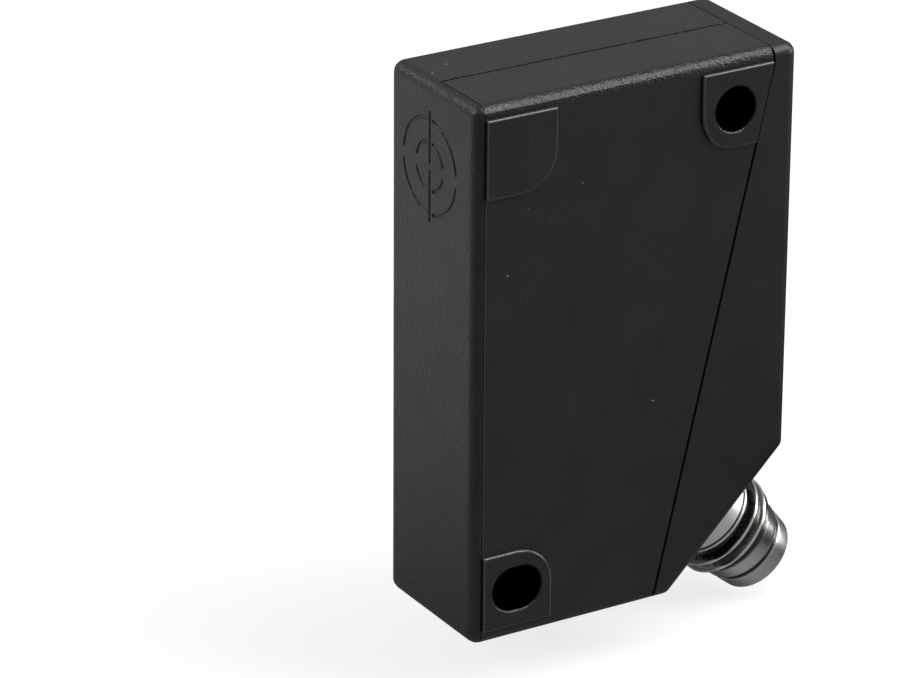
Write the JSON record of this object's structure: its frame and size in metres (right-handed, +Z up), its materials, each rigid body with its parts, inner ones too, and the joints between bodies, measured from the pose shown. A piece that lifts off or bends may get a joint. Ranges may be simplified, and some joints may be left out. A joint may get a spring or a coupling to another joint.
{
  "type": "inductive proximity sensor",
  "caption": "Flat block housing with a slanted joint, screw holes in raised pads, a sensing face with a ring target mark on one narrow side and a threaded round plug at 45 degrees.",
  "frame": {"origin": "centre of the housing's flat back, between the raised pads", "axes": "+Z up along the long side, +Y out of the back, -X out of the sensing face, -Y out of the front"},
  "size_m": [0.0297, 0.012, 0.0437],
  "materials": {
    "housing_plastic": "black moulded polyester, fine spark-eroded grain",
    "plug_block_plastic": "black moulded polyamide, smoother than the housing",
    "nickel_plated_brass": "turned brass, satin nickel plating",
    "seal_rubber": "black nitrile rubber",
    "carrier_plastic": "black moulded contact carrier",
    "gold_plated_brass": "gold plated, polished",
    "ferrite": "sintered ferrite, matt dark grey",
    "bobbin_plastic": "natural moulded plastic",
    "enamelled_wire": "enamelled copper wire",
    "circuit_laminate": "green solder mask on glass-epoxy laminate",
    "chip_plastic": "black moulding compound",
    "ceramic": "sintered ceramic, tan",
    "diode_glass": "red-orange glass body, glossy",
    "led_resin": "yellow diffused resin",
    "brown_insulation": "brown PVC insulation",
    "blue_insulation": "blue PVC insulation",
    "black_insulation": "black PVC insulation"
  },
  "bodies": {
    "root": {"rear_housing": "housing_plastic", "front_cover": "housing_plastic", "plug_block": "plug_block_plastic", "connector_sleeve": "nickel_plated_brass", "seal_ring": "seal_rubber", "pin_carrier": "carrier_plastic", "contact_pin_1": "gold_plated_brass", "contact_pin_3": "gold_plated_brass", "contact_pin_4": "gold_plated_brass", "ferrite_core": "ferrite", "coil_bobbin": "bobbin_plastic", "coil_winding": "enamelled_wire", "coil_lead_start": "enamelled_wire", "coil_lead_end": "enamelled_wire", "circuit_board": "circuit_laminate", "oscillator_chip": "chip_plastic", "output_transistor": "chip_plastic", "supply_capacitor": "ceramic", "tuning_capacitor": "ceramic", "bias_resistor_1": "chip_plastic", "bias_resistor_2": "chip_plastic", "polarity_diode": "diode_glass", "status_led": "led_resin", "lead_wire_1": "brown_insulation", "lead_wire_3": "blue_insulation", "lead_wire_4": "black_insulation"}
  },
  "joints": []
}
